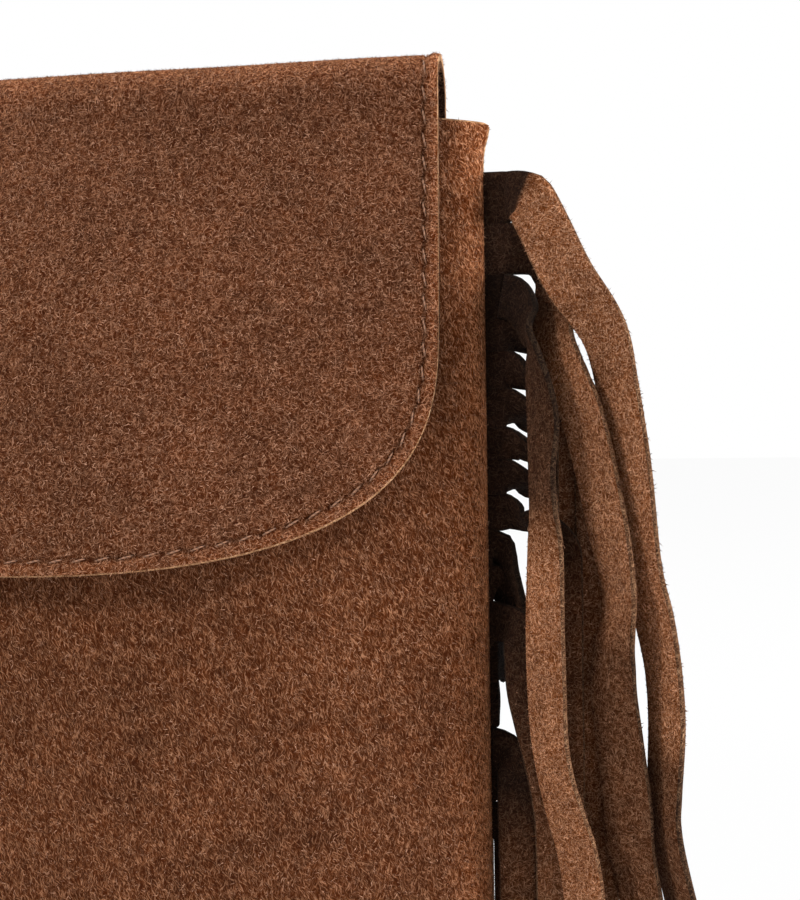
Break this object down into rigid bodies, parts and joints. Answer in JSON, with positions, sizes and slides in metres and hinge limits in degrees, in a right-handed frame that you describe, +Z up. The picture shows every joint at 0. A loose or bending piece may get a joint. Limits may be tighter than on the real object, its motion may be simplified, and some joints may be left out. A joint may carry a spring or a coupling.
{
  "type": "fringed suede bag",
  "caption": "Flat flap bag in suede that stands on a lens-shaped base, with a folded flap held by a hidden magnetic snap and long cut fringe down both side seams.",
  "frame": {"origin": "centre of the base, on the surface the bag stands on", "axes": "+X to the right seen from the front, -Y out of the front under the flap, +Z up"},
  "size_m": [0.3186, 0.0548, 0.21],
  "materials": {
    "suede": "napped suede, warm brown",
    "facing": "thin dark brown leather",
    "lining": "plain beige cotton",
    "snap_metal": "antiqued brass"
  },
  "bodies": {
    "pouch": {"front_panel": "suede", "back_panel": "suede", "base_panel": "suede", "lining": "lining", "flap_tab_suede": "suede", "flap_tab_facing": "facing", "snap_socket": "snap_metal", "snap_socket_washer": "snap_metal", "fringe_right": "suede", "fringe_left": "suede"},
    "flap": {"flap_suede": "suede", "flap_facing": "facing", "snap_stud": "snap_metal", "snap_stud_washer": "snap_metal"}
  },
  "joints": [
    {"name": "flap_hinge", "type": "hinge", "parent": "pouch", "child": "flap", "pos_m": [0, 0, 0.21], "axis": [-1, 0, 0], "range_deg": [0, 175]}
  ]
}
